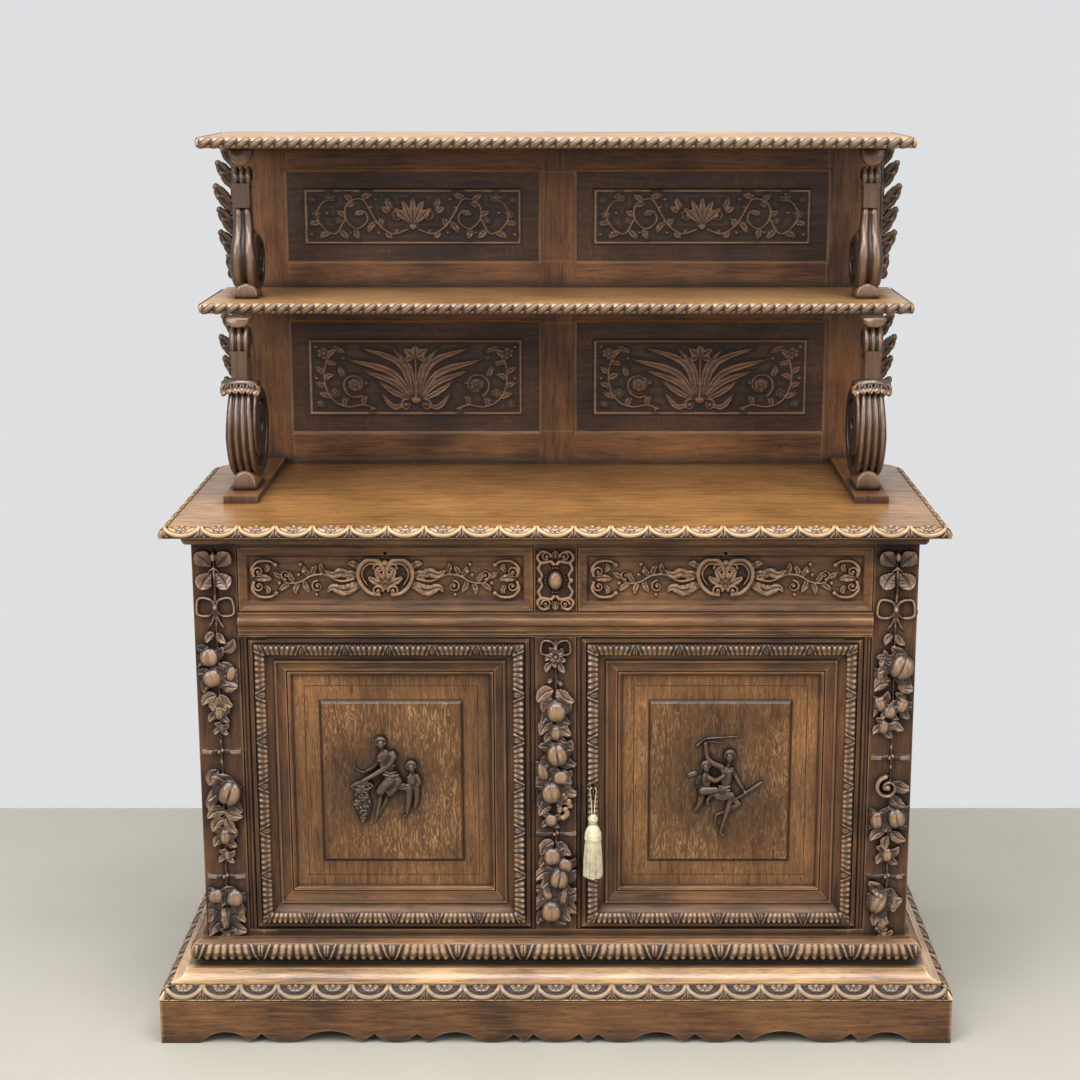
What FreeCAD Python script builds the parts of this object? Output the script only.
import FreeCAD, Part
import math
import os

from FreeCAD import Vector

# A carved oak dresser: a base with two drawers and two doors on a moulded plinth, and an open rack of two
# shelves on scroll brackets. Millimetres. X runs to the right, Y to the back, Z up.
# The origin is on the floor, under the middle of the plinth.

# Plinth
PLINTH_WIDTH = 1500.0
PLINTH_DEPTH = 646.0
PLINTH_REACH = 81.0
APRON_HEIGHT = 85.0
APRON_THICK = 22.0
APRON_SETBACK = 1.0
APRON_FOOT = 72.5
APRON_RISE = 25.0
APRON_TOE = 3.0
PLINTH_FRAME_HEIGHT = 48.0
PLINTH_FRAME_INSIDE = 90.0
BACK_RAIL_THICK = 22.0
CORNER_BLOCK = 60.0
BASE_MOULDING_HEIGHT = 53.0
BASE_MOULDING_REACH = 28.0

# Carcass
FRONT_POST_WIDTH = 82.0
FRONT_POST_DEPTH = 60.0
REAR_POST_WIDTH = 60.0
REAR_POST_DEPTH = 40.0
BOTTOM_RAIL_HEIGHT = 63.0
DOOR_OPENING_HEIGHT = 582.0
WAIST_RAIL_HEIGHT = 48.0
DRAWER_OPENING_HEIGHT = 125.0
TOP_RAIL_HEIGHT = 26.0
STOP_LIP_HEIGHT = 8.0
STOP_LIP_END = 20.0
WAIST_FILLET = 4.0
WAIST_LIP = 3.0
WAIST_REACH = 7.0
WAIST_ROUND = 6.0
CENTRE_STILE_WIDTH = 75.0
STILE_SHOULDER = 9.0
STILE_THICK = 30.0
DIVIDER_WIDTH = 80.0
JAMB_WIDTH = 13.5
SIDE_RAIL_THICK = 28.0
SIDE_RAIL_HEIGHT = 80.0
SIDE_PANEL_THICK = 10.0
PANEL_TONGUE = 8.0
WAIST_RETURN_REACH = 13.0
BACK_BOARD_THICK = 12.0
BACK_BOARD_COUNT = 4
BACK_BOARD_GAP = 0.5
SHELF_BOARD_THICK = 18.0
SHELF_BOARD_HEIGHT = 274.0
SHELF_BOARD_SETBACK = 120.0
BEARER_WIDTH = 40.0
CLEAT = 18.0
DUST_BOARD_THICK = 12.0
GUIDE_HEIGHT = 24.0
MAIN_TOP_THICK = 19.0
MAIN_TOP_REACH = 49.0
MAIN_TOP_EDGE = 15.0
MAIN_TOP_CORNER = 60.0
TOP_MOULDING_HEIGHT = 20.0
TOP_MOULDING_REACH = 15.0

# Doors
DOOR_GAP = 1.5
DOOR_END_GAP = 3.0
DOOR_THICK = 36.0
DOOR_FRAME_WIDTH = 77.0
DOOR_PANEL_THICK = 8.0
DOOR_PANEL_DEPTH = 25.0
DOOR_BAND_PROUD = 3.0
DOOR_BAND_BULGE = 3.0
DOOR_FIELD_MARGIN = 51.0
DOOR_FIELD_RAISE = 5.0
INLAY_MARGIN = 21.0
INLAY_WIDTH = 2.0
INLAY_DEPTH = 1.0
PIVOT_INSET = 12.0
PIVOT_DEPTH = 6.0
PIVOT_RADIUS = 3.0
PIVOT_PLAY = 0.05
PIVOT_PIN = 8.0
PIVOT_PLATE_LENGTH = 34.0
PIVOT_PLATE_WIDTH = 14.0
PIVOT_PLATE_THICK = 3.0
PIVOT_PLATE_INSET = 2.0
PIVOT_ROOM = 1.0

# Door lock, key and tassel
KEY_HEIGHT = 293.0
KEY_INSET = 22.0
LOCK_WIDTH = 60.0
LOCK_HEIGHT = 80.0
LOCK_THICK = 14.0
LOCK_WALL = 2.0
BOLT_HEIGHT = 14.0
BOLT_THICK = 6.0
BOLT_THROW = 10.0
BOLT_PLAY = 0.5
BOLT_RISE = 12.0
BOLT_DEPTH = 3.0
KEEPER_WIDTH = 10.0
KEEPER_RIM = 6.0
KEEPER_WALL = 4.0
ESCUTCHEON_RADIUS = 7.0
ESCUTCHEON_THICK = 2.0
SHANK_RADIUS = 3.5
SHANK_PLAY = 1.0
KEY_REACH = 36.0
KEY_COLLAR = 1.5
KEY_BIT_LENGTH = 11.0
KEY_BIT_WIDTH = 8.0
KEY_BIT_THICK = 3.0
BOW_RADIUS = 11.0
BOW_WIRE = 2.2
TASSEL_REACH = 28.0
CORD_RADIUS = 0.9
CORD_PLAY = 0.4
CORD_DROP = 49.0
CORD_GAP = 5.2
KNOB_RADIUS = 9.0
KNOB_HEIGHT = 20.0
HEAD_RADIUS = 15.5
HEAD_HEIGHT = 32.0
SKIRT_RADIUS = 19.0
SKIRT_HEIGHT = 74.0

# Drawers
DRAWER_GAP = 2.0
DRAWER_FRONT_THICK = 26.0
DRAWER_SIDE_THICK = 14.0
DRAWER_BACK_GAP = 53.0
DRAWER_SIDE_DROP = 4.0
DRAWER_BOTTOM_THICK = 8.0
DRAWER_BOTTOM_HEIGHT = 8.0
DRAWER_GROOVE = 6.0
DRAWER_BORDER = 20.0
DRAWER_BORDER_FLAT = 2.0
DRAWER_SINK = 8.0
DRAWER_LOCK_WIDTH = 56.0
DRAWER_LOCK_HEIGHT = 44.0
DRAWER_LOCK_THICK = 12.0
DRAWER_BOLT_WIDTH = 22.0
DRAWER_BOLT_LENGTH = 24.0
DRAWER_BOLT_THROW = 7.0

# Rack
LOWER_BAY_HEIGHT = 351.0
UPPER_BAY_HEIGHT = 294.0
RACK_SHELF_THICK = 20.0
RACK_SHELF_ROUND = 9.0
MID_SHELF_WIDTH = 1373.0
MID_SHELF_DEPTH = 291.0
TOP_SHELF_WIDTH = 1357.0
TOP_SHELF_DEPTH = 319.0
RACK_FRAME_THICK = 18.0
RACK_FRAME_WIDTH = 1316.0
RACK_STILE_WIDTH = 106.0
RACK_MUNTIN_WIDTH = 78.0
RACK_BOTTOM_RAIL = 69.0
RACK_MID_RAIL_BELOW = 54.0
RACK_MID_RAIL_ABOVE = 53.0
RACK_TOP_RAIL = 60.0
RACK_PANEL_THICK = 8.0
RACK_BEVEL = 8.0
RACK_BEVEL_DEPTH = 5.0
RACK_FIELD_MARGIN = 33.0
RACK_FIELD_RAISE = 3.0
SOLE_WIDTH = 65.0
SOLE_THICK = 15.0
SOLE_REACH = 387.0
LOWER_BRACKET_SPACING = 1205.0
LOWER_BRACKET_WIDTH = 54.0
LOWER_BRACKET_REACH = 382.0
LOWER_SCROLL_RADIUS = 120.0
LOWER_SCROLL_BAND = 24.0
LOWER_ROLL_RADIUS = 32.0
LOWER_FOOT_HEIGHT = 38.0
UPPER_BRACKET_SPACING = 1216.0
UPPER_BRACKET_WIDTH = 53.0
UPPER_BRACKET_REACH = 239.0
UPPER_SCROLL_RADIUS = 78.0
UPPER_SCROLL_BAND = 20.0
UPPER_ROLL_RADIUS = 25.0
UPPER_FOOT_HEIGHT = 30.0
SCROLL_SHRINK = 0.88
SCROLL_QUARTERS = 7
LOWER_REEDS = 4
UPPER_REEDS = 2
ROLL_REEDS = 3
REED_GROOVE = 2.0
REED_DEPTH = 3.0
COLLAR_PROUD = 4.0
COLLAR_DROP = 10.0
COLLAR_RISE = 4.0
WING_REACH = 46.0
WING_STEM = 7.0
WING_LOBES = 6
WING_MARGIN = 12.0

# Planes worked out from the sizes above
FACE_Y = -PLINTH_DEPTH / 2 + PLINTH_REACH
BACK_Y = PLINTH_DEPTH / 2
SIDE_X = PLINTH_WIDTH / 2 - PLINTH_REACH
FRAME_Z = APRON_HEIGHT
CARCASS_Z = FRAME_Z + PLINTH_FRAME_HEIGHT
SILL_Z = CARCASS_Z + BOTTOM_RAIL_HEIGHT
WAIST_Z = SILL_Z + DOOR_OPENING_HEIGHT
DRAWER_Z = WAIST_Z + WAIST_RAIL_HEIGHT
TOP_RAIL_Z = DRAWER_Z + DRAWER_OPENING_HEIGHT
MAIN_TOP_Z = TOP_RAIL_Z + TOP_RAIL_HEIGHT
WORKTOP_Z = MAIN_TOP_Z + MAIN_TOP_THICK
MID_SHELF_Z = WORKTOP_Z + LOWER_BAY_HEIGHT
MID_SHELF_TOP = MID_SHELF_Z + RACK_SHELF_THICK
TOP_SHELF_Z = MID_SHELF_TOP + UPPER_BAY_HEIGHT

POST_INNER_X = SIDE_X - FRONT_POST_WIDTH
POST_BACK_Y = FACE_Y + FRONT_POST_DEPTH
REAR_INNER_X = SIDE_X - REAR_POST_WIDTH
REAR_FRONT_Y = BACK_Y - REAR_POST_DEPTH
LINING_X = SIDE_X - SIDE_RAIL_THICK
BOARD_Y = BACK_Y - BACK_BOARD_THICK
RACK_FACE_Y = BACK_Y - RACK_FRAME_THICK

DOOR_OUTER_X = POST_INNER_X - JAMB_WIDTH - DOOR_GAP
DOOR_INNER_X = CENTRE_STILE_WIDTH / 2 + STILE_SHOULDER + DOOR_GAP
DOOR_LOW_Z = SILL_Z + DOOR_END_GAP
DOOR_HIGH_Z = WAIST_Z - DOOR_END_GAP
PIVOT_X = DOOR_OUTER_X - PIVOT_INSET
PIVOT_Y = FACE_Y + PIVOT_DEPTH
KEY_X = DOOR_INNER_X + KEY_INSET
KEY_Z = SILL_Z + KEY_HEIGHT
LOCK_Y = FACE_Y + DOOR_THICK
TASSEL_Y = FACE_Y - TASSEL_REACH

DRAWER_INNER_X = DIVIDER_WIDTH / 2 + DRAWER_GAP
DRAWER_OUTER_X = POST_INNER_X - DRAWER_GAP
DRAWER_LOW_Z = DRAWER_Z + DRAWER_GAP
DRAWER_HIGH_Z = TOP_RAIL_Z - DRAWER_GAP


def block(x, y, z):
    """Box between the low and high value of each of three pairs."""
    return Part.makeBox(x[1] - x[0], y[1] - y[0], z[1] - z[0], Vector(x[0], y[0], z[0]))


def mirrored(shape):
    """The same piece on the other side of the dresser."""
    return shape.mirror(Vector(0, 0, 0), Vector(1, 0, 0))


def pair(shape):
    """A piece and its twin on the other side."""
    return [shape, mirrored(shape)]


def save(node, *shapes):
    """Write one node, one solid or a group of separate solids."""
    solids = [solid for shape in shapes for solid in shape.Solids]
    shape = solids[0] if len(solids) == 1 else Part.makeCompound(solids)
    shape.exportStep("parts/" + node + ".step")
    print(node, len(solids), "solids", round(shape.Volume / 1000.0, 1), "cm3", shape.isValid())


def outline(start, steps, place):
    """Closed face. A step is (end,) for a line or (sag, end) for an arc that bulges to the left by sag."""
    edges = []
    here = start
    for step in list(steps) + [(start,)]:
        end = step[-1]
        run = math.hypot(end[0] - here[0], end[1] - here[1])
        if run < 1e-6:
            continue
        if len(step) == 1:
            edges.append(Part.makeLine(place(here), place(end)))
        else:
            left = ((here[1] - end[1]) / run, (end[0] - here[0]) / run)
            mid = ((here[0] + end[0]) / 2 + step[0] * left[0], (here[1] + end[1]) / 2 + step[0] * left[1])
            edges.append(Part.Arc(place(here), place(mid), place(end)).toShape())
        here = end
    return Part.Face(Part.Wire(edges))


def corner_wedge(side):
    """The part of a front corner that belongs to the side strip, or to the front strip."""
    near = PLINTH_DEPTH / 2
    low = Vector(SIDE_X - near, FACE_Y + near, 0)
    high = Vector(SIDE_X + near, FACE_Y - near, 0)
    third = Vector(SIDE_X + near, FACE_Y + near, 0) if side else Vector(SIDE_X - near, FACE_Y - near, 0)
    face = Part.Face(Part.makePolygon([low, high, third, low]))
    return face.extrude(Vector(0, 0, TOP_SHELF_Z))


def strips(start, steps):
    """A moulding round the front and sides, mitred at the front corners. Points are (out, height)."""
    half = PLINTH_WIDTH / 2
    front = outline(start, steps, lambda p: Vector(-half, FACE_Y - p[0], p[1]))
    front = front.extrude(Vector(2 * half, 0, 0))
    beyond = corner_wedge(True)
    front = front.cut(beyond).cut(mirrored(beyond))
    side = outline(start, steps, lambda p: Vector(SIDE_X + p[0], BACK_Y, p[1]))
    side = side.extrude(Vector(0, -PLINTH_DEPTH, 0)).cut(corner_wedge(False))
    return [front] + pair(side)


def frustum(low, high, near, far, y_near, y_far):
    """Rectangle in front, shrinking to another behind: low and high corners at near and far margins."""
    rings = []
    for margin, y in ((near, y_near), (far, y_far)):
        x0, z0 = low[0] + margin, low[1] + margin
        x1, z1 = high[0] - margin, high[1] - margin
        corners = [(x0, z0), (x1, z0), (x1, z1), (x0, z1), (x0, z0)]
        rings.append(Part.makePolygon([Vector(x, y, z) for x, z in corners]))
    return Part.makeLoft(rings, True, True)


# Plinth

# The scalloped lower edge from its middle outwards: (share of the way to the foot, share of the rise).
# A line has one point, and an arc passes through its first point on the way to its second.
FRONT_SCALLOP = [
    [(0.0, 0.0), (0.064, 0.7)],
    [(0.088, 0.0)],
    [(0.118, 0.7)],
    [(0.170, 0.0), (0.233, 0.5)],
    [(0.291, 0.9), (0.356, 0.0)],
    [(0.390, 0.75)],
    [(0.452, 0.0), (0.509, 0.75)],
    [(0.545, 0.0)],
    [(0.632, 1.0), (0.701, 0.5)],
    [(0.766, 0.0), (0.826, 0.75)],
    [(0.856, 0.0)],
    [(0.929, 0.9), (1.0, -0.12)],
]
SIDE_SCALLOP = [
    [(0.0, 0.0), (0.2, 0.7)],
    [(0.27, 0.0)],
    [(0.35, 0.7)],
    [(0.46, 0.0), (0.62, 0.5)],
    [(0.78, 1.0), (1.0, -0.12)],
]


def apron(length, scallop, place):
    """Board with a scalloped lower edge between two feet, centred on its length."""
    half = length / 2
    span = half - APRON_FOOT
    foot = APRON_TOE / (APRON_RISE - APRON_TOE)

    def point(sign, share):
        rise = APRON_TOE + max(share[1], -foot) * (APRON_RISE - APRON_TOE)
        return place(sign * share[0] * span, rise if share[0] < 1.0 else 0.0)

    edges = []
    for sign in (1, -1):
        here = None
        for step in scallop:
            if here is None:
                edges.append(Part.Arc(point(-1, step[1]), point(1, step[0]), point(1, step[1])).toShape())
            elif len(step) == 1:
                edges.append(Part.makeLine(point(sign, here), point(sign, step[0])))
            else:
                via, end = point(sign, step[0]), point(sign, step[1])
                edges.append(Part.Arc(point(sign, here), via, end).toShape())
            here = step[-1]
        if sign == -1:
            edges.pop(len(scallop))
    rim = [place(span, 0), place(half, 0), place(half, APRON_HEIGHT), place(-half, APRON_HEIGHT)]
    rim += [place(-half, 0), place(-span, 0)]
    edges += [Part.makeLine(a, b) for a, b in zip(rim, rim[1:])]
    return Part.Face(Part.Wire(Part.__sortEdges__(edges)))


def make_plinth():
    reach = PLINTH_REACH - APRON_SETBACK
    outer_x = SIDE_X + reach
    outer_y = FACE_Y - reach
    front = apron(2 * outer_x, FRONT_SCALLOP, lambda s, z: Vector(s, outer_y, z))
    front = front.extrude(Vector(0, APRON_THICK, 0))
    beyond = corner_wedge(True)
    front = front.cut(beyond).cut(mirrored(beyond))
    side_length = BACK_Y - outer_y
    side = apron(side_length, SIDE_SCALLOP, lambda s, z: Vector(outer_x, outer_y + side_length / 2 + s, z))
    side = side.extrude(Vector(-APRON_THICK, 0, 0)).cut(corner_wedge(False))
    save("aprons", front, *pair(side))

    inside = outer_x - APRON_THICK
    back_y = (BACK_Y - BACK_RAIL_THICK, BACK_Y)
    frame_inner = SIDE_X - PLINTH_FRAME_INSIDE
    back = block((-inside, inside), back_y, (0, FRAME_Z))
    back = back.fuse(block((-frame_inner, frame_inner), back_y, (FRAME_Z, CARCASS_Z))).removeSplitter()
    save("plinth_back_rail", back)

    blocks = []
    for corner_y, turn in ((outer_y + APRON_THICK, 1), (back_y[0], -1)):
        corners = [(inside, corner_y), (inside - CORNER_BLOCK, corner_y)]
        corners += [(inside, corner_y + turn * CORNER_BLOCK), (inside, corner_y)]
        ring = [Vector(x, y, APRON_RISE) for x, y in corners]
        blocks += pair(Part.Face(Part.makePolygon(ring)).extrude(Vector(0, 0, FRAME_Z - APRON_RISE)))
    save("corner_blocks", *blocks)

    out = PLINTH_REACH
    low, high = FRAME_Z, CARCASS_Z
    lunette = low + 0.52 * PLINTH_FRAME_HEIGHT
    fillet = low + 0.60 * PLINTH_FRAME_HEIGHT
    steps = [
        ((out - 3.0, low),),
        ((out, low + 3.0),),
        (-4.0, (out - 20.0, lunette)),
        ((out - 20.0, fillet),),
        ((out - 27.0, fillet),),
        (4.0, (out - 45.0, high)),
        ((-PLINTH_FRAME_INSIDE, high),),
    ]
    save("plinth_frame", *strips((-PLINTH_FRAME_INSIDE, low), steps))

    out = BASE_MOULDING_REACH
    low, high = CARCASS_Z, CARCASS_Z + BASE_MOULDING_HEIGHT
    neck = low + 0.19 * BASE_MOULDING_HEIGHT
    steps = [
        ((out - 12.0, low),),
        (2.0, (out - 18.0, neck)),
        ((out - 10.0, neck),),
        (-8.0, (out - 6.0, neck + 0.62 * BASE_MOULDING_HEIGHT)),
        ((out - 18.0, high - 4.0),),
        ((out - 18.0, high),),
        ((0.0, high),),
    ]
    save("base_moulding", *strips((0.0, low), steps))


# Carcass

def make_posts():
    front = block((POST_INNER_X, SIDE_X), (FACE_Y, POST_BACK_Y), (CARCASS_Z, MAIN_TOP_Z))
    save("front_post_right", front)
    save("front_post_left", mirrored(front))
    save("rear_posts", *rear_posts())


def rear_posts():
    return pair(block((REAR_INNER_X, SIDE_X), (REAR_FRONT_Y, BACK_Y), (CARCASS_Z, MAIN_TOP_Z)))


def pivot_holes():
    """Seats of the pivot socket plates in the rails, with room for the pins."""
    holes = []
    for z, turn in ((SILL_Z, -1), (WAIST_Z, 1)):
        plate = pivot_plate(z if turn > 0 else z - PIVOT_PLATE_THICK)
        spot = Vector(PIVOT_X, PIVOT_Y, z)
        pin = Part.makeCylinder(PIVOT_RADIUS + PIVOT_ROOM, 2 * PIVOT_PIN, spot, Vector(0, 0, turn))
        holes += pair(plate) + pair(pin)
    return holes


def pivot_plate(z):
    """Flat plate round a pivot, from the door's outer edge inwards."""
    edge_x = DOOR_OUTER_X - PIVOT_PLATE_INSET
    back_y = FACE_Y + DOOR_THICK / 2
    front_y = min(back_y - PIVOT_PLATE_WIDTH, PIVOT_Y - PIVOT_RADIUS - PIVOT_ROOM)
    return block((edge_x - PIVOT_PLATE_LENGTH, edge_x), (front_y, back_y), (z, z + PIVOT_PLATE_THICK))


def make_rails():
    holes = Part.makeCompound(pivot_holes())
    span = 2 * POST_INNER_X
    depth = FRONT_POST_DEPTH
    bottom = block((-POST_INNER_X, POST_INNER_X), (FACE_Y, POST_BACK_Y), (CARCASS_Z, SILL_Z))
    save("bottom_rail", bottom.cut(holes))

    low, high = WAIST_Z, DRAWER_Z
    tall = WAIST_RAIL_HEIGHT
    steps = [
        ((0.0, low),),
        ((0.0, low + 0.11 * tall),),
        ((WAIST_FILLET, low + 0.11 * tall),),
        ((WAIST_FILLET, low + 0.28 * tall),),
        ((WAIST_REACH, low + 0.28 * tall),),
        ((WAIST_REACH, low + 0.46 * tall),),
        (-WAIST_ROUND, (WAIST_REACH, low + 0.84 * tall)),
        ((WAIST_LIP, low + 0.88 * tall),),
        ((WAIST_LIP, high),),
        ((-depth, high),),
    ]
    waist = outline((-depth, low), steps, lambda p: Vector(-POST_INNER_X, FACE_Y - p[0], p[1]))
    waist = waist.extrude(Vector(span, 0, 0)).cut(holes)
    # A door's hinge corner swings back a little, so the stop ends short of the pivots.
    stop_x = PIVOT_X - STOP_LIP_END
    stop = block((-stop_x, stop_x), (LOCK_Y + DOOR_GAP, POST_BACK_Y), (low - STOP_LIP_HEIGHT, low))
    save("waist_rail", waist, stop)

    top = block((-POST_INNER_X, POST_INNER_X), (FACE_Y, POST_BACK_Y), (TOP_RAIL_Z, MAIN_TOP_Z))
    for bolt in drawer_bolts(DRAWER_BOLT_THROW + BOLT_PLAY, BOLT_PLAY):
        top = top.cut(bolt)
    save("top_rail", top)


def make_front_uprights():
    half = CENTRE_STILE_WIDTH / 2
    shoulder = half + STILE_SHOULDER
    step = STILE_SHOULDER / 2
    edge = [
        ((half, FACE_Y),),
        ((half, FACE_Y + step),),
        (-step / 3, (shoulder, FACE_Y + step)),
        ((shoulder, FACE_Y + STILE_THICK),),
        ((-shoulder, FACE_Y + STILE_THICK),),
        ((-shoulder, FACE_Y + step),),
        (-step / 3, (-half, FACE_Y + step)),
    ]
    stile = outline((-half, FACE_Y), edge, lambda p: Vector(p[0], p[1], SILL_Z))
    save("centre_stile", stile.extrude(Vector(0, 0, DOOR_OPENING_HEIGHT)))

    half = DIVIDER_WIDTH / 2
    divider = block((-half, half), (FACE_Y, FACE_Y + STILE_THICK), (DRAWER_Z, TOP_RAIL_Z))
    save("drawer_divider", divider)

    reed = JAMB_WIDTH / 2
    edge = [
        (-reed / 3, (POST_INNER_X - reed, FACE_Y + step)),
        (-reed / 3, (POST_INNER_X, FACE_Y + step)),
        ((POST_INNER_X, FACE_Y + STILE_THICK),),
        ((POST_INNER_X - JAMB_WIDTH, FACE_Y + STILE_THICK),),
    ]
    jamb = outline((POST_INNER_X - JAMB_WIDTH, FACE_Y + step), edge, lambda p: Vector(p[0], p[1], SILL_Z))
    save("door_jambs", *pair(jamb.extrude(Vector(0, 0, DOOR_OPENING_HEIGHT))))


def make_sides():
    y = (POST_BACK_Y, REAR_FRONT_Y)
    waist = (WAIST_Z + DRAWER_Z) / 2
    levels = [
        (CARCASS_Z, CARCASS_Z + SIDE_RAIL_HEIGHT),
        (waist - SIDE_RAIL_HEIGHT / 2, waist + SIDE_RAIL_HEIGHT / 2),
        (MAIN_TOP_Z - SIDE_RAIL_HEIGHT / 2, MAIN_TOP_Z),
    ]
    middle = SIDE_X - SIDE_RAIL_THICK / 2
    panel_x = (middle - SIDE_PANEL_THICK / 2, middle + SIDE_PANEL_THICK / 2)
    panels = []
    for below, above in zip(levels, levels[1:]):
        panels += pair(block(panel_x, y, (below[1] - PANEL_TONGUE, above[0] + PANEL_TONGUE)))
    rails = []
    for level in levels:
        for rail in pair(block((LINING_X, SIDE_X), y, level)):
            rails.append(rail.cut(Part.makeCompound(panels)))
    save("side_rails", *rails)
    save("side_panels", *panels)

    out = WAIST_RETURN_REACH
    low, high = WAIST_Z + 4.0, DRAWER_Z
    steps = [
        ((out - 7.0, low),),
        ((out - 5.0, low + 0.4 * (high - low)),),
        (-4.0, (out - 5.0, low + 0.85 * (high - low))),
        ((out - 8.0, high),),
        ((0.0, high),),
    ]
    strip = outline((0.0, low), steps, lambda p: Vector(SIDE_X + p[0], y[0], p[1]))
    save("side_waist_mouldings", *pair(strip.extrude(Vector(0, y[1] - y[0], 0))))


def make_interior():
    posts = Part.makeCompound(rear_posts())
    wide = (-LINING_X, LINING_X)
    deep = (POST_BACK_Y, BOARD_Y)
    floor_z = (SILL_Z - SHELF_BOARD_THICK, SILL_Z)
    save("cabinet_floor", block(wide, deep, floor_z).cut(posts))
    dust_z = (DRAWER_Z - DUST_BOARD_THICK, DRAWER_Z)
    save("dust_board", block(wide, deep, dust_z).cut(posts))
    shelf_y = (FACE_Y + SHELF_BOARD_SETBACK, BOARD_Y)
    shelf_z = (SILL_Z + SHELF_BOARD_HEIGHT, SILL_Z + SHELF_BOARD_HEIGHT + SHELF_BOARD_THICK)
    save("cupboard_shelf", block(wide, shelf_y, shelf_z).cut(posts))

    bearer_z = (CARCASS_Z, floor_z[0])
    bearers = pair(block((LINING_X - BEARER_WIDTH, LINING_X), (POST_BACK_Y, REAR_FRONT_Y), bearer_z))
    bearers.append(block((-BEARER_WIDTH / 2, BEARER_WIDTH / 2), deep, bearer_z))
    cleat_z = (shelf_z[0] - CLEAT, shelf_z[0])
    cleats = pair(block((LINING_X - CLEAT, LINING_X), (shelf_y[0], REAR_FRONT_Y), cleat_z))
    cleats.append(block((-REAR_INNER_X + CLEAT, REAR_INNER_X - CLEAT), (BOARD_Y - CLEAT, BOARD_Y), cleat_z))
    save("bearers_and_cleats", *bearers, *cleats)

    guide_z = (DRAWER_Z, DRAWER_Z + GUIDE_HEIGHT)
    half = DIVIDER_WIDTH / 2
    guides = pair(block((POST_INNER_X, LINING_X), (POST_BACK_Y, REAR_FRONT_Y), guide_z))
    guides.append(block((-half, half), (FACE_Y + STILE_THICK, BOARD_Y), guide_z))
    kicker_z = (TOP_RAIL_Z, MAIN_TOP_Z)
    kickers = pair(block((LINING_X - 2 * BEARER_WIDTH, LINING_X), (POST_BACK_Y, REAR_FRONT_Y), kicker_z))
    kickers.append(block((-half - BEARER_WIDTH, half + BEARER_WIDTH), deep, kicker_z))
    save("drawer_guides", *guides, *kickers)

    pitch = 2 * REAR_INNER_X / BACK_BOARD_COUNT
    boards = []
    for index in range(BACK_BOARD_COUNT):
        left = -REAR_INNER_X + index * pitch
        gap = BACK_BOARD_GAP if index < BACK_BOARD_COUNT - 1 else 0.0
        boards.append(block((left, left + pitch - gap), (BOARD_Y, BACK_Y), (CARCASS_Z, MAIN_TOP_Z)))
    save("back_boards", *boards)


def make_main_top():
    out = TOP_MOULDING_REACH
    low, high = MAIN_TOP_Z - TOP_MOULDING_HEIGHT, MAIN_TOP_Z
    steps = [
        ((out - 5.0, low),),
        (-2.0, (out, high - 5.0)),
        ((out, high),),
        ((0.0, high),),
    ]
    save("top_moulding", *strips((0.0, low), steps))

    half = SIDE_X + MAIN_TOP_REACH
    front = FACE_Y - MAIN_TOP_REACH
    bend = MAIN_TOP_CORNER
    sag = bend * (1 - math.sqrt(0.5))
    steps = [
        ((half, front),),
        ((half, BACK_Y - bend),),
        (-sag, (half - bend, BACK_Y)),
        ((bend - half, BACK_Y),),
        (-sag, (-half, BACK_Y - bend)),
    ]
    board = outline((-half, front), steps, lambda p: Vector(p[0], p[1], MAIN_TOP_Z))
    board = board.extrude(Vector(0, 0, MAIN_TOP_THICK))
    moulded = []
    for edge in board.Edges:
        box = edge.BoundBox
        if box.ZMin > WORKTOP_Z - 0.01 and box.YMin < BACK_Y - 0.01:
            moulded.append(edge)
    save("main_top", board.makeFillet(MAIN_TOP_EDGE, moulded))


# Doors

def door_contour():
    """Section of the door's frame moulding from its outer edge to the panel: (inwards, depth)."""
    wide = DOOR_FRAME_WIDTH
    back = DOOR_THICK
    return (0.0, back), [
        ((0.0, 5.0),),
        ((2.0, 3.0),),
        ((8.0, 3.0),),
        ((8.5, 7.0),),
        ((11.0, 7.0),),
        ((11.5, -DOOR_BAND_PROUD),),
        (-DOOR_BAND_BULGE, (29.0, 0.0)),
        ((29.0, 3.0),),
        (2.0, (45.0, 14.0)),
        ((46.0, 11.0),),
        ((50.0, 11.0),),
        ((50.5, 15.0),),
        (1.5, (wide - 10.0, 18.0)),
        ((wide - 10.0, 22.0),),
        ((wide - 8.0, 22.0),),
        ((wide - 7.5, 17.0),),
        (-1.0, (wide - 1.0, 20.0)),
        ((wide, DOOR_PANEL_DEPTH - 1.0),),
        ((wide, back),),
    ]


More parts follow.
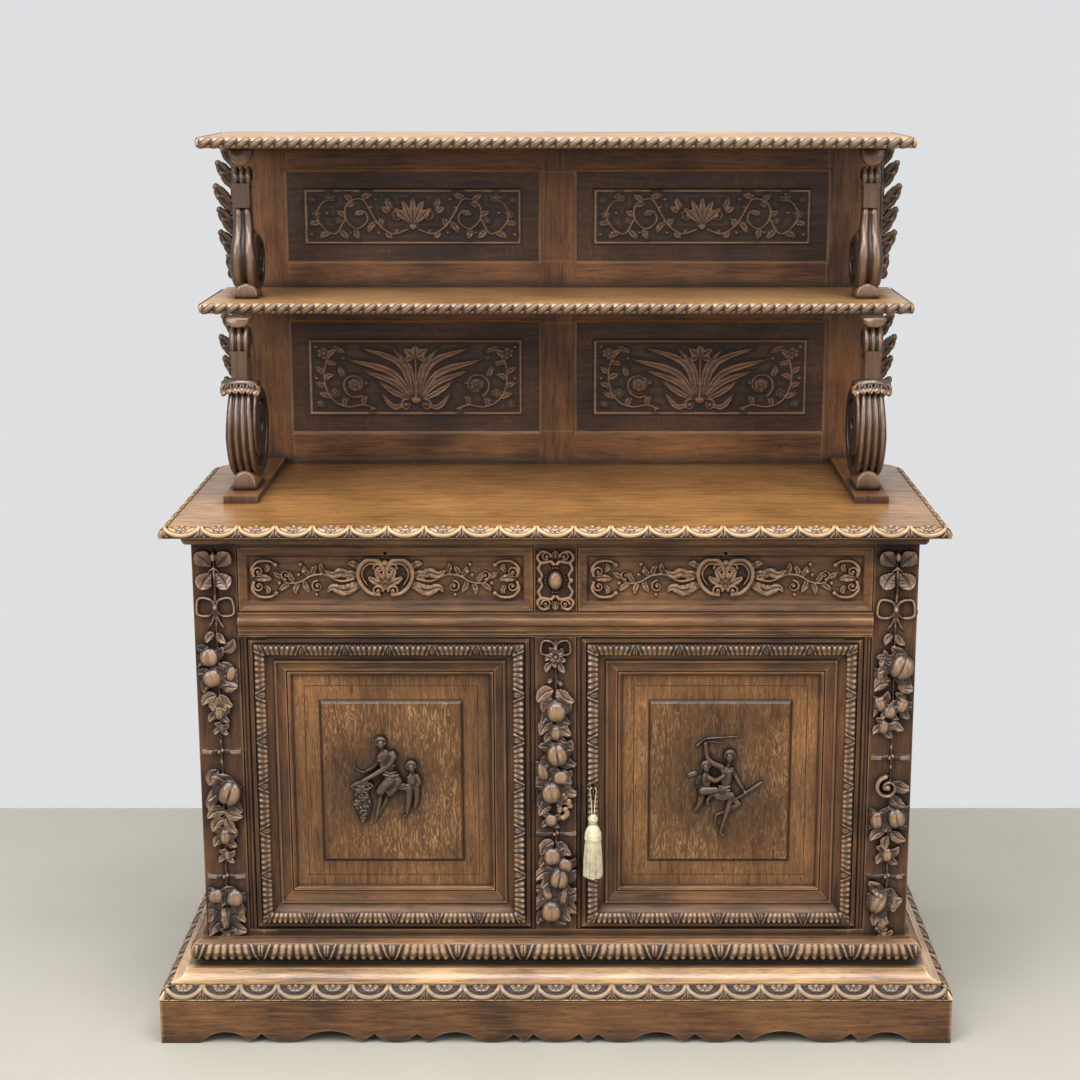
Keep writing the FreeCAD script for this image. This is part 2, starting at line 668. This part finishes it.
def door_members():
    """Stiles and rails of the left door, mitred like a picture frame and grooved for the panel."""
    x0, x1 = -DOOR_OUTER_X, -DOOR_INNER_X
    z0, z1 = DOOR_LOW_Z, DOOR_HIGH_Z
    wide = DOOR_FRAME_WIDTH
    start, steps = door_contour()
    places = {
        "left": (lambda p: Vector(x0 + p[0], FACE_Y + p[1], z0), Vector(0, 0, z1 - z0)),
        "right": (lambda p: Vector(x1 - p[0], FACE_Y + p[1], z0), Vector(0, 0, z1 - z0)),
        "low": (lambda p: Vector(x0, FACE_Y + p[1], z0 + p[0]), Vector(x1 - x0, 0, 0)),
        "high": (lambda p: Vector(x0, FACE_Y + p[1], z1 - p[0]), Vector(x1 - x0, 0, 0)),
    }
    mitres = {
        "left": [(x0, z0), (x0, z1), (x0 + wide, z1 - wide), (x0 + wide, z0 + wide)],
        "right": [(x1, z0), (x1, z1), (x1 - wide, z1 - wide), (x1 - wide, z0 + wide)],
        "low": [(x0, z0), (x1, z0), (x1 - wide, z0 + wide), (x0 + wide, z0 + wide)],
        "high": [(x0, z1), (x1, z1), (x1 - wide, z1 - wide), (x0 + wide, z1 - wide)],
    }
    members = {}
    for name, (place, run) in places.items():
        ring = [Vector(x, FACE_Y - DOOR_THICK, z) for x, z in mitres[name] + mitres[name][:1]]
        wedge = Part.Face(Part.makePolygon(ring)).extrude(Vector(0, 3 * DOOR_THICK, 0))
        members[name] = outline(start, steps, place).extrude(run).common(wedge)
    return members


def door_panel():
    """Fielded panel of the left door, with its inlay line."""
    inset = DOOR_FRAME_WIDTH
    low = (-DOOR_OUTER_X + inset, DOOR_LOW_Z + inset)
    high = (-DOOR_INNER_X - inset, DOOR_HIGH_Z - inset)
    face = FACE_Y + DOOR_PANEL_DEPTH
    panel = block((low[0] - PANEL_TONGUE, high[0] + PANEL_TONGUE), (face, face + DOOR_PANEL_THICK),
                  (low[1] - PANEL_TONGUE, high[1] + PANEL_TONGUE))
    tongue = panel.copy()
    field = frustum(low, high, DOOR_FIELD_MARGIN + DOOR_FIELD_RAISE, DOOR_FIELD_MARGIN,
                    face - DOOR_FIELD_RAISE, face)
    depth = (face, face + INLAY_DEPTH)
    line = block((low[0] + INLAY_MARGIN, high[0] - INLAY_MARGIN), depth,
                 (low[1] + INLAY_MARGIN, high[1] - INLAY_MARGIN))
    inside = INLAY_MARGIN + INLAY_WIDTH
    line = line.cut(block((low[0] + inside, high[0] - inside), depth, (low[1] + inside, high[1] - inside)))
    return panel.cut(line).fuse(field).removeSplitter(), tongue


def make_doors():
    members = door_members()
    panel, tongue = door_panel()
    plates = [mirrored(pivot_plate(z)) for z in (DOOR_LOW_Z, DOOR_HIGH_Z - PIVOT_PLATE_THICK)]
    cuts = Part.makeCompound([tongue] + plates)
    members = {name: member.cut(cuts) for name, member in members.items()}
    key_hole = Part.makeCylinder(SHANK_RADIUS + SHANK_PLAY, 3 * DOOR_THICK,
                                 Vector(KEY_X, FACE_Y - DOOR_THICK, KEY_Z), Vector(0, 1, 0))
    for side in ("left", "right"):
        stiles = [members["left"], members["right"]]
        rails = [members["low"], members["high"]]
        board = panel
        if side == "right":
            stiles = [mirrored(stile).cut(key_hole) for stile in stiles]
            rails = [mirrored(rail) for rail in rails]
            board = mirrored(panel)
        save("door_" + side + "_stiles", *stiles)
        save("door_" + side + "_rails", *rails)
        save("door_" + side + "_panel", board)

    pivots = []
    sockets = []
    for edge_z, opening_z, turn in ((DOOR_LOW_Z, SILL_Z, -1), (DOOR_HIGH_Z, WAIST_Z, 1)):
        up = Vector(0, 0, turn)
        base = Vector(PIVOT_X, PIVOT_Y, edge_z)
        plate = pivot_plate(edge_z if turn < 0 else edge_z - PIVOT_PLATE_THICK)
        pin = Part.makeCylinder(PIVOT_RADIUS, DOOR_END_GAP + PIVOT_PIN, base, up)
        collar = Part.makeCylinder(PIVOT_RADIUS + 1.5, DOOR_END_GAP - 0.3, base, up)
        pivots.append(plate.fuse(pin).fuse(collar).removeSplitter())
        seat = pivot_plate(opening_z if turn > 0 else opening_z - PIVOT_PLATE_THICK)
        hole = Part.makeCylinder(PIVOT_RADIUS + PIVOT_PLAY, 4 * PIVOT_PIN,
                                 Vector(PIVOT_X, PIVOT_Y, opening_z - 2 * PIVOT_PIN))
        sockets += pair(seat.cut(hole))
    save("door_right_pivots", *pivots)
    save("door_left_pivots", *[mirrored(pivot) for pivot in pivots])
    save("pivot_sockets", *sockets)


# Door lock, key and tassel

def make_door_lock():
    x0 = DOOR_INNER_X + 2.0
    case = block((x0, x0 + LOCK_WIDTH), (LOCK_Y, LOCK_Y + LOCK_THICK),
                 (KEY_Z - LOCK_HEIGHT / 2, KEY_Z + LOCK_HEIGHT / 2))
    wall = LOCK_WALL
    inside = block((x0 + wall, x0 + LOCK_WIDTH - wall), (LOCK_Y, LOCK_Y + LOCK_THICK - wall),
                   (KEY_Z - LOCK_HEIGHT / 2 + wall, KEY_Z + LOCK_HEIGHT / 2 - wall))
    bolt_z = (KEY_Z + BOLT_RISE, KEY_Z + BOLT_RISE + BOLT_HEIGHT)
    bolt_y = (LOCK_Y + BOLT_DEPTH, LOCK_Y + BOLT_DEPTH + BOLT_THICK)
    bolt = block((x0, x0 + LOCK_WIDTH - 4 * wall - BOLT_THROW), bolt_y, bolt_z)
    slot = block((x0 - 1.0, x0 + 2 * wall), (bolt_y[0] - BOLT_PLAY, bolt_y[1] + BOLT_PLAY),
                 (bolt_z[0] - BOLT_PLAY, bolt_z[1] + BOLT_PLAY))
    save("door_lock_case", case.cut(inside).cut(slot))
    save("door_lock_bolt", bolt)

    back = FACE_Y + STILE_THICK
    stile_edge = CENTRE_STILE_WIDTH / 2 + STILE_SHOULDER
    keeper = block((stile_edge - KEEPER_WIDTH, stile_edge), (back, bolt_y[1] + KEEPER_WALL),
                   (bolt_z[0] - KEEPER_RIM, bolt_z[1] + KEEPER_RIM))
    gate = block((stile_edge - 2 * KEEPER_WIDTH, stile_edge + KEEPER_WIDTH),
                 (bolt_y[0] - BOLT_PLAY, bolt_y[1] + BOLT_PLAY),
                 (bolt_z[0] - BOLT_PLAY, bolt_z[1] + BOLT_PLAY))
    save("lock_keeper", keeper.cut(gate))


def make_key():
    inwards = Vector(0, 1, 0)
    plate_y = FACE_Y - DOOR_BAND_PROUD / 2 - DOOR_BAND_BULGE - ESCUTCHEON_THICK
    spot = Vector(KEY_X, plate_y, KEY_Z)
    plate = Part.makeCylinder(ESCUTCHEON_RADIUS, FACE_Y - plate_y, spot, inwards)
    hole = Part.makeCylinder(SHANK_RADIUS + SHANK_PLAY, FACE_Y - plate_y, spot, inwards)
    inner_stile = mirrored(door_members()["right"])
    save("keyhole_plate", plate.cut(inner_stile).cut(hole))

    end_y = LOCK_Y + LOCK_THICK - LOCK_WALL - SHANK_PLAY
    front_y = FACE_Y - KEY_REACH
    front = Vector(KEY_X, front_y, KEY_Z)
    shank = Part.makeCylinder(SHANK_RADIUS, end_y - front_y, front, inwards)
    collar_spot = Vector(KEY_X, front_y - BOW_WIRE / 2, KEY_Z)
    collar = Part.makeCylinder(SHANK_RADIUS + KEY_COLLAR, 2 * KEY_COLLAR, collar_spot, inwards)
    bow =Part.makeTorus(BOW_RADIUS, BOW_WIRE, Vector(KEY_X, front_y - BOW_RADIUS, KEY_Z), Vector(1, 0, 0))
    bit = block((KEY_X - KEY_BIT_THICK / 2, KEY_X + KEY_BIT_THICK / 2),
                (end_y - SHANK_PLAY - KEY_BIT_WIDTH, end_y - SHANK_PLAY), (KEY_Z - KEY_BIT_LENGTH, KEY_Z))
    save("door_key", shank.fuse([collar, bow, bit]).removeSplitter())


def revolved(start, steps, z_axis_point):
    """Solid of revolution about a vertical axis. Points are (radius, height)."""
    x, y = z_axis_point
    face = outline(start, steps, lambda p: Vector(x + p[0], y, p[1]))
    return face.revolve(Vector(x, y, 0), Vector(0, 0, 1), 360)


def rounded_path(points):
    """Straight runs joined by tangent arcs, each as large as its two runs allow."""
    edges = []
    here = points[0]
    for before, corner, after in zip(points, points[1:], points[2:]):
        back, ahead = before - corner, after - corner
        trim = 0.45 * min(back.Length, ahead.Length)
        back.normalize()
        ahead.normalize()
        half_turn = (math.pi - back.getAngle(ahead)) / 2
        radius = trim / math.tan(half_turn)
        inwards = (back + ahead).normalize()
        middle = corner + inwards * (radius / math.cos(half_turn) - radius)
        start, end = corner + back * trim, corner + ahead * trim
        edges += [Part.makeLine(here, start), Part.Arc(start, middle, end).toShape()]
        here = end
        print("cord bend radius", round(radius, 2))
    edges.append(Part.makeLine(here, points[-1]))
    return Part.Wire(edges)


def make_tassel():
    crest = SHANK_RADIUS + CORD_PLAY + CORD_RADIUS
    half = [(CORD_GAP / 2, -CORD_DROP), (2.6, -31.0), (4.8, -13.0), (6.4, crest)]
    route = [(-wide, rise) for wide, rise in half] + half[::-1]
    points = [Vector(KEY_X + wide, TASSEL_Y, KEY_Z + rise) for wide, rise in route]
    path = rounded_path(points)
    section = Part.makeCircle(CORD_RADIUS, points[0], points[1] - points[0])
    cord = path.makePipeShell([Part.Wire(section)], True, False)
    print("cord length", path.Length, "diameter", 2 * CORD_RADIUS)
    print("cord volume over section times length", cord.Volume / (math.pi * CORD_RADIUS ** 2 * path.Length))
    save("tassel_cord", cord)

    axis = (KEY_X, TASSEL_Y)
    knob_z = KEY_Z - CORD_DROP
    head_z = knob_z - KNOB_HEIGHT
    skirt_z = head_z - HEAD_HEIGHT
    neck = 0.6 * KNOB_RADIUS
    steps = [
        ((CORD_GAP / 2 + 3 * CORD_RADIUS, knob_z),),
        (1.5, (KNOB_RADIUS, knob_z - KNOB_HEIGHT / 2)),
        (1.5, (neck, head_z)),
        (4.0, (HEAD_RADIUS, head_z - 0.6 * HEAD_HEIGHT)),
        (1.5, (0.8 * HEAD_RADIUS, skirt_z)),
        ((0.0, skirt_z),),
    ]
    save("tassel_head", revolved((0.0, knob_z), steps, axis))
    low = skirt_z - SKIRT_HEIGHT
    steps = [
        ((0.78 * HEAD_RADIUS, skirt_z),),
        (2.0, (SKIRT_RADIUS, skirt_z - 0.7 * SKIRT_HEIGHT)),
        ((SKIRT_RADIUS, low),),
        ((0.0, low),),
    ]
    save("tassel_skirt", revolved((0.0, skirt_z), steps, axis))


# Drawers

def drawer_lock_parts():
    """Hollow lock case and its bolt for the right drawer, at the middle of its front."""
    x = (DRAWER_INNER_X + DRAWER_OUTER_X) / 2
    y = FACE_Y + DRAWER_FRONT_THICK
    half = DRAWER_LOCK_WIDTH / 2
    wall = LOCK_WALL
    low = DRAWER_HIGH_Z - DRAWER_LOCK_HEIGHT
    case = block((x - half, x + half), (y, y + DRAWER_LOCK_THICK), (low, DRAWER_HIGH_Z))
    case = case.cut(block((x - half + wall, x + half - wall), (y, y + DRAWER_LOCK_THICK - wall),
                          (low + wall, DRAWER_HIGH_Z - wall)))
    wide = DRAWER_BOLT_WIDTH / 2
    bolt_y = (y + BOLT_DEPTH, y + BOLT_DEPTH + BOLT_THICK)
    bolt = block((x - wide, x + wide), bolt_y, (DRAWER_HIGH_Z - DRAWER_BOLT_LENGTH, DRAWER_HIGH_Z))
    slot = block((x - wide - BOLT_PLAY, x + wide + BOLT_PLAY), (bolt_y[0] - BOLT_PLAY, bolt_y[1] + BOLT_PLAY),
                 (DRAWER_HIGH_Z - 2 * wall, DRAWER_HIGH_Z + wall))
    return case.cut(slot), bolt


def drawer_bolts(lift, play):
    """Space taken by both drawer bolts when thrown."""
    x = (DRAWER_INNER_X + DRAWER_OUTER_X) / 2
    y = FACE_Y + DRAWER_FRONT_THICK + BOLT_DEPTH
    wide = DRAWER_BOLT_WIDTH / 2
    return pair(block((x - wide - play, x + wide + play), (y - play, y + BOLT_THICK + play),
                      (DRAWER_HIGH_Z, DRAWER_HIGH_Z + lift)))


def drawer_parts():
    """Front, sides with back, and bottom of the right drawer."""
    x = (DRAWER_INNER_X, DRAWER_OUTER_X)
    z = (DRAWER_LOW_Z, DRAWER_HIGH_Z)
    back_y = FACE_Y + DRAWER_FRONT_THICK
    end_y = BOARD_Y - DRAWER_BACK_GAP
    front = block(x, (FACE_Y, back_y), z)
    low, high = (x[0], z[0]), (x[1], z[1])
    half = DRAWER_BORDER / 2
    second = half + DRAWER_BORDER_FLAT
    front = front.cut(frustum(low, high, 0.3 * half, half, FACE_Y, FACE_Y + 0.4 * DRAWER_SINK))
    front = front.cut(frustum(low, high, second, DRAWER_BORDER, FACE_Y, FACE_Y + DRAWER_SINK))
    thick = DRAWER_SIDE_THICK
    bottom_z = (z[0] + DRAWER_BOTTOM_HEIGHT, z[0] + DRAWER_BOTTOM_HEIGHT + DRAWER_BOTTOM_THICK)
    groove = DRAWER_GROOVE
    bottom = block((x[0] + DRAWER_GAP + thick - groove, x[1] - DRAWER_GAP - thick + groove),
                   (back_y - groove, end_y), bottom_z)
    side_z = (z[0], z[1] - DRAWER_SIDE_DROP)
    sides = [
        block((x[0] + DRAWER_GAP, x[0] + DRAWER_GAP + thick), (back_y, end_y), side_z),
        block((x[1] - DRAWER_GAP - thick, x[1] - DRAWER_GAP), (back_y, end_y), side_z),
    ]
    back = block((x[0] + DRAWER_GAP + thick, x[1] - DRAWER_GAP - thick), (end_y - thick, end_y),
                 (bottom_z[1], side_z[1]))
    return front.cut(bottom), [side.cut(bottom) for side in sides] + [back], bottom


def make_drawers():
    front, box, bottom = drawer_parts()
    case, bolt = drawer_lock_parts()
    key_hole = Part.makeCylinder(SHANK_RADIUS, 2 * DRAWER_FRONT_THICK,
                                 Vector((DRAWER_INNER_X + DRAWER_OUTER_X) / 2, FACE_Y - DRAWER_SINK,
                                        DRAWER_HIGH_Z - 0.6 * DRAWER_BORDER), Vector(0, 1, 0))
    front = front.cut(key_hole)
    for side in ("right", "left"):
        turn = mirrored if side == "left" else lambda shape: shape
        save("drawer_" + side + "_front", turn(front))
        save("drawer_" + side + "_box", *[turn(board) for board in box])
        save("drawer_" + side + "_bottom", turn(bottom))
        save("drawer_" + side + "_lock", turn(case))
        save("drawer_" + side + "_bolt", turn(bolt))


# Rack

def make_rack_frame():
    half = RACK_FRAME_WIDTH / 2
    inner = half - RACK_STILE_WIDTH
    muntin = RACK_MUNTIN_WIDTH / 2
    y = (RACK_FACE_Y, BACK_Y)
    bays = [
        (WORKTOP_Z + RACK_BOTTOM_RAIL, MID_SHELF_Z - RACK_MID_RAIL_BELOW),
        (MID_SHELF_TOP + RACK_MID_RAIL_ABOVE, TOP_SHELF_Z - RACK_TOP_RAIL),
    ]
    frame = pair(block((inner, half), y, (WORKTOP_Z, TOP_SHELF_Z)))
    frame.append(block((-inner, inner), y, (WORKTOP_Z, bays[0][0])))
    frame.append(block((-inner, inner), y, (bays[0][1], bays[1][0])))
    frame.append(block((-inner, inner), y, (bays[1][1], TOP_SHELF_Z)))
    frame += [block((-muntin, muntin), y, bay) for bay in bays]
    middle = (RACK_FACE_Y + BACK_Y) / 2
    panel_y = (middle - RACK_PANEL_THICK / 2, middle + RACK_PANEL_THICK / 2)
    cuts = []
    panels = []
    for bay in bays:
        low, high = (muntin, bay[0]), (inner, bay[1])
        board = block((muntin - PANEL_TONGUE, inner + PANEL_TONGUE), panel_y,
                      (bay[0] - PANEL_TONGUE, bay[1] + PANEL_TONGUE))
        bevel = frustum(low, high, -RACK_BEVEL, 0.0, RACK_FACE_Y, RACK_FACE_Y + RACK_BEVEL_DEPTH)
        cuts += pair(board) + pair(bevel)
        field = frustum(low, high, RACK_FIELD_MARGIN + RACK_FIELD_RAISE, RACK_FIELD_MARGIN,
                        panel_y[0] - RACK_FIELD_RAISE, panel_y[0])
        panels += pair(board.fuse(field).removeSplitter())
    save("rack_frame", *[member.cut(Part.makeCompound(cuts)) for member in frame])
    save("rack_panels", *panels)


def rack_shelf(width, depth, back, z):
    """Shelf with rounded front and end edges."""
    half = width / 2
    board = block((-half, half), (back - depth, back), (z, z + RACK_SHELF_THICK))
    rounded = []
    for edge in board.Edges:
        box = edge.BoundBox
        if box.ZLength < 0.01 and box.YMin < back - 0.01:
            rounded.append(edge)
    return board.makeFillet(min(RACK_SHELF_ROUND, 0.49 * RACK_SHELF_THICK), rounded)


def spiral(centre, radius, start_angle, quarters, shrink):
    """Quarter arcs that wind inwards, each with its own centre: (centre, radius, first angle)."""
    arcs = []
    y, z = centre
    for index in range(quarters):
        angle = start_angle + index * math.pi / 2
        arcs.append(((y, z), radius, angle))
        less = radius * (1 - shrink)
        end = angle + math.pi / 2
        y, z = y + less * math.cos(end), z + less * math.sin(end)
        radius -= less
    return arcs


def arc_point(arc, share, less, x):
    """Point on a quarter arc, drawn in towards its centre by less."""
    (y, z), radius, angle = arc
    turn = angle + share * math.pi / 2
    return Vector(x, y + (radius - less) * math.cos(turn), z + (radius - less) * math.sin(turn))


def arc_edge(arc, less, x):
    first, middle, last = [arc_point(arc, share, less, x) for share in (0, 0.5, 1)]
    return Part.Arc(first, middle, last).toShape()


def band(arcs, outside, inside, x0, width):
    """The spiral band between two offsets from its outer line."""
    edges = [arc_edge(arc, outside, x0) for arc in arcs]
    edges.append(Part.makeLine(arc_point(arcs[-1], 1, outside, x0), arc_point(arcs[-1], 1, inside, x0)))
    edges += [arc_edge(arc, inside, x0) for arc in arcs]
    edges.append(Part.makeLine(arc_point(arcs[0], 0, outside, x0), arc_point(arcs[0], 0, inside, x0)))
    return Part.Face(Part.Wire(Part.__sortEdges__(edges))).extrude(Vector(width, 0, 0))


def scroll_bracket(x, width, front, foot_z, shelf_z, radius, ribbon, roll, foot_height, reeds):
    """S-scroll console: a large volute on a rounded foot, a neck, a small roll and a boss on top."""
    x0 = x - width / 2
    across = Vector(1, 0, 0)
    corner = math.sqrt(0.5)
    centre = (front + radius, foot_z + radius * (SCROLL_SHRINK + corner * (1 - SCROLL_SHRINK)))
    arcs = spiral(centre, radius, 0.75 * math.pi, SCROLL_QUARTERS, SCROLL_SHRINK)
    volute = band(arcs, 0.0, ribbon, x0, width)
    for index in range(1, reeds):
        groove_x = x0 + index * width / reeds - REED_GROOVE / 2
        volute = volute.cut(band(arcs[:3], -REED_DEPTH, REED_DEPTH, groove_x, REED_GROOVE))

    web_x = x0 + 0.2 * width
    inset = 0.5 * ribbon
    web = [arc_edge(arc, inset, web_x) for arc in arcs[:4]]
    web.append(Part.makeLine(arc_point(arcs[3], 1, inset, web_x), arc_point(arcs[0], 0, inset, web_x)))
    web = Part.Face(Part.Wire(Part.__sortEdges__(web))).extrude(Vector(0.6 * width, 0, 0))

    (eye_y, eye_z), eye_radius = arcs[-1][:2]
    eye = Part.makeCylinder(0.9 * eye_radius, width, Vector(x0, eye_y, eye_z), across)

    neck_y = centre[0] - corner * radius
    neck_z = centre[1] + corner * radius
    roll_z = shelf_z - 1.35 * roll
    shoulder = (centre[0] + corner * radius - 0.5 * ribbon, centre[1] + corner * radius - 0.5 * ribbon)
    steps = [
        ((neck_y, neck_z),),
        (-0.1 * roll, (neck_y + 0.4 * roll, roll_z)),
        ((neck_y + 0.4 * roll, shelf_z),),
        ((neck_y + 2.8 * roll, shelf_z),),
        (-0.3 * roll, (neck_y + 2.2 * roll, roll_z - 0.5 * roll)),
        (-0.5 * roll, shoulder),
        ((centre[0], centre[1]),),
    ]
    neck = outline((neck_y, neck_z - ribbon), steps, lambda p: Vector(x - 0.3 * width, p[0], p[1]))
    neck = neck.extrude(Vector(0.6 * width, 0, 0))
    collar = block((x0, x0 + width), (neck_y - COLLAR_PROUD, neck_y + ribbon),
                   (neck_z - COLLAR_DROP, neck_z + COLLAR_RISE))
    curl_width = 0.92 * width
    curl_x = x - curl_width / 2
    curl = Part.makeCylinder(roll, curl_width, Vector(curl_x, neck_y + roll, roll_z), across)
    for index in range(1, ROLL_REEDS):
        spot = Vector(curl_x + index * curl_width / ROLL_REEDS - REED_GROOVE / 2, neck_y + roll, roll_z)
        ring = Part.makeCylinder(roll + REED_DEPTH, REED_GROOVE, spot, across)
        curl = curl.cut(ring.cut(Part.makeCylinder(roll - REED_DEPTH, REED_GROOVE, spot, across)))
    boss_r = 0.42 * width
    boss = Part.makeCylinder(boss_r, 2.0 * roll, Vector(x, neck_y + 0.5 * roll, shelf_z), Vector(0, 1, 0))
    boss = boss.common(block((x0, x0 + width), (neck_y, neck_y + 4 * roll), (shelf_z - boss_r, shelf_z)))

    foot_r = width / 2
    spring_z = foot_z + foot_height - foot_r
    steps = [((x0 + width, foot_z),), ((x0 + width, spring_z),), (-foot_r, (x0, spring_z))]
    foot = outline((x0, foot_z), steps, lambda p: Vector(p[0], front, p[1]))
    foot = foot.extrude(Vector(0, 0.9 * radius, 0))
    return volute.fuse([web, eye, neck, collar, curl, boss, foot]).removeSplitter()


def leaf_wing(low, high, lobes):
    """Flat leaf on the edge of the rack frame: lobes that lean out and grow towards the top."""
    x0 = RACK_FRAME_WIDTH / 2
    pitch = (high - low) / lobes
    steps = []
    for index in range(lobes):
        rise = ((index + 0.6) / lobes) ** 1.5
        reach = WING_REACH * (0.3 + 0.7 * math.sin(math.pi * rise))
        root = low + index * pitch
        tip = (x0 + reach, root + 0.8 * pitch)
        curl = (x0 + 0.72 * reach, root + 0.86 * pitch)
        steps += [
            (-0.12 * pitch, tip),
            (-0.5 * (tip[0] - curl[0]), curl),
            (0.05 * pitch, (x0 + WING_STEM, root + pitch)),
        ]
    steps.append(((x0, high),))
    leaf = outline((x0, low), steps, lambda p: Vector(p[0], RACK_FACE_Y, p[1]))
    return leaf.extrude(Vector(0, BACK_Y - RACK_FACE_Y, 0))


def make_rack():
    make_rack_frame()
    save("mid_shelf", rack_shelf(MID_SHELF_WIDTH, MID_SHELF_DEPTH, RACK_FACE_Y, MID_SHELF_Z))
    save("top_shelf", rack_shelf(TOP_SHELF_WIDTH, TOP_SHELF_DEPTH, BACK_Y, TOP_SHELF_Z))

    sole_x = LOWER_BRACKET_SPACING / 2
    sole_front = RACK_FACE_Y - SOLE_REACH
    sole_top = WORKTOP_Z + SOLE_THICK
    sole = block((sole_x - SOLE_WIDTH / 2, sole_x + SOLE_WIDTH / 2), (sole_front, RACK_FACE_Y),
                 (WORKTOP_Z, sole_top))
    save("bracket_soles", *pair(sole))
    lower = scroll_bracket(sole_x, LOWER_BRACKET_WIDTH, RACK_FACE_Y - LOWER_BRACKET_REACH, sole_top,
                           MID_SHELF_Z, LOWER_SCROLL_RADIUS, LOWER_SCROLL_BAND, LOWER_ROLL_RADIUS,
                           LOWER_FOOT_HEIGHT, LOWER_REEDS)
    save("lower_brackets", *pair(lower))
    upper = scroll_bracket(UPPER_BRACKET_SPACING / 2, UPPER_BRACKET_WIDTH, RACK_FACE_Y - UPPER_BRACKET_REACH,
                           MID_SHELF_TOP, TOP_SHELF_Z, UPPER_SCROLL_RADIUS, UPPER_SCROLL_BAND,
                           UPPER_ROLL_RADIUS, UPPER_FOOT_HEIGHT, UPPER_REEDS)
    save("upper_brackets", *pair(upper))

    wings = pair(leaf_wing(WORKTOP_Z + 7 * WING_MARGIN, MID_SHELF_Z, WING_LOBES))
    wings += pair(leaf_wing(MID_SHELF_TOP + WING_MARGIN, TOP_SHELF_Z, WING_LOBES))
    save("leaf_wings", *wings)


os.makedirs("parts", exist_ok=True)
make_plinth()
make_posts()
make_rails()
make_front_uprights()
make_sides()
make_interior()
make_main_top()
make_doors()
make_door_lock()
make_key()
make_tassel()
make_drawers()
make_rack()
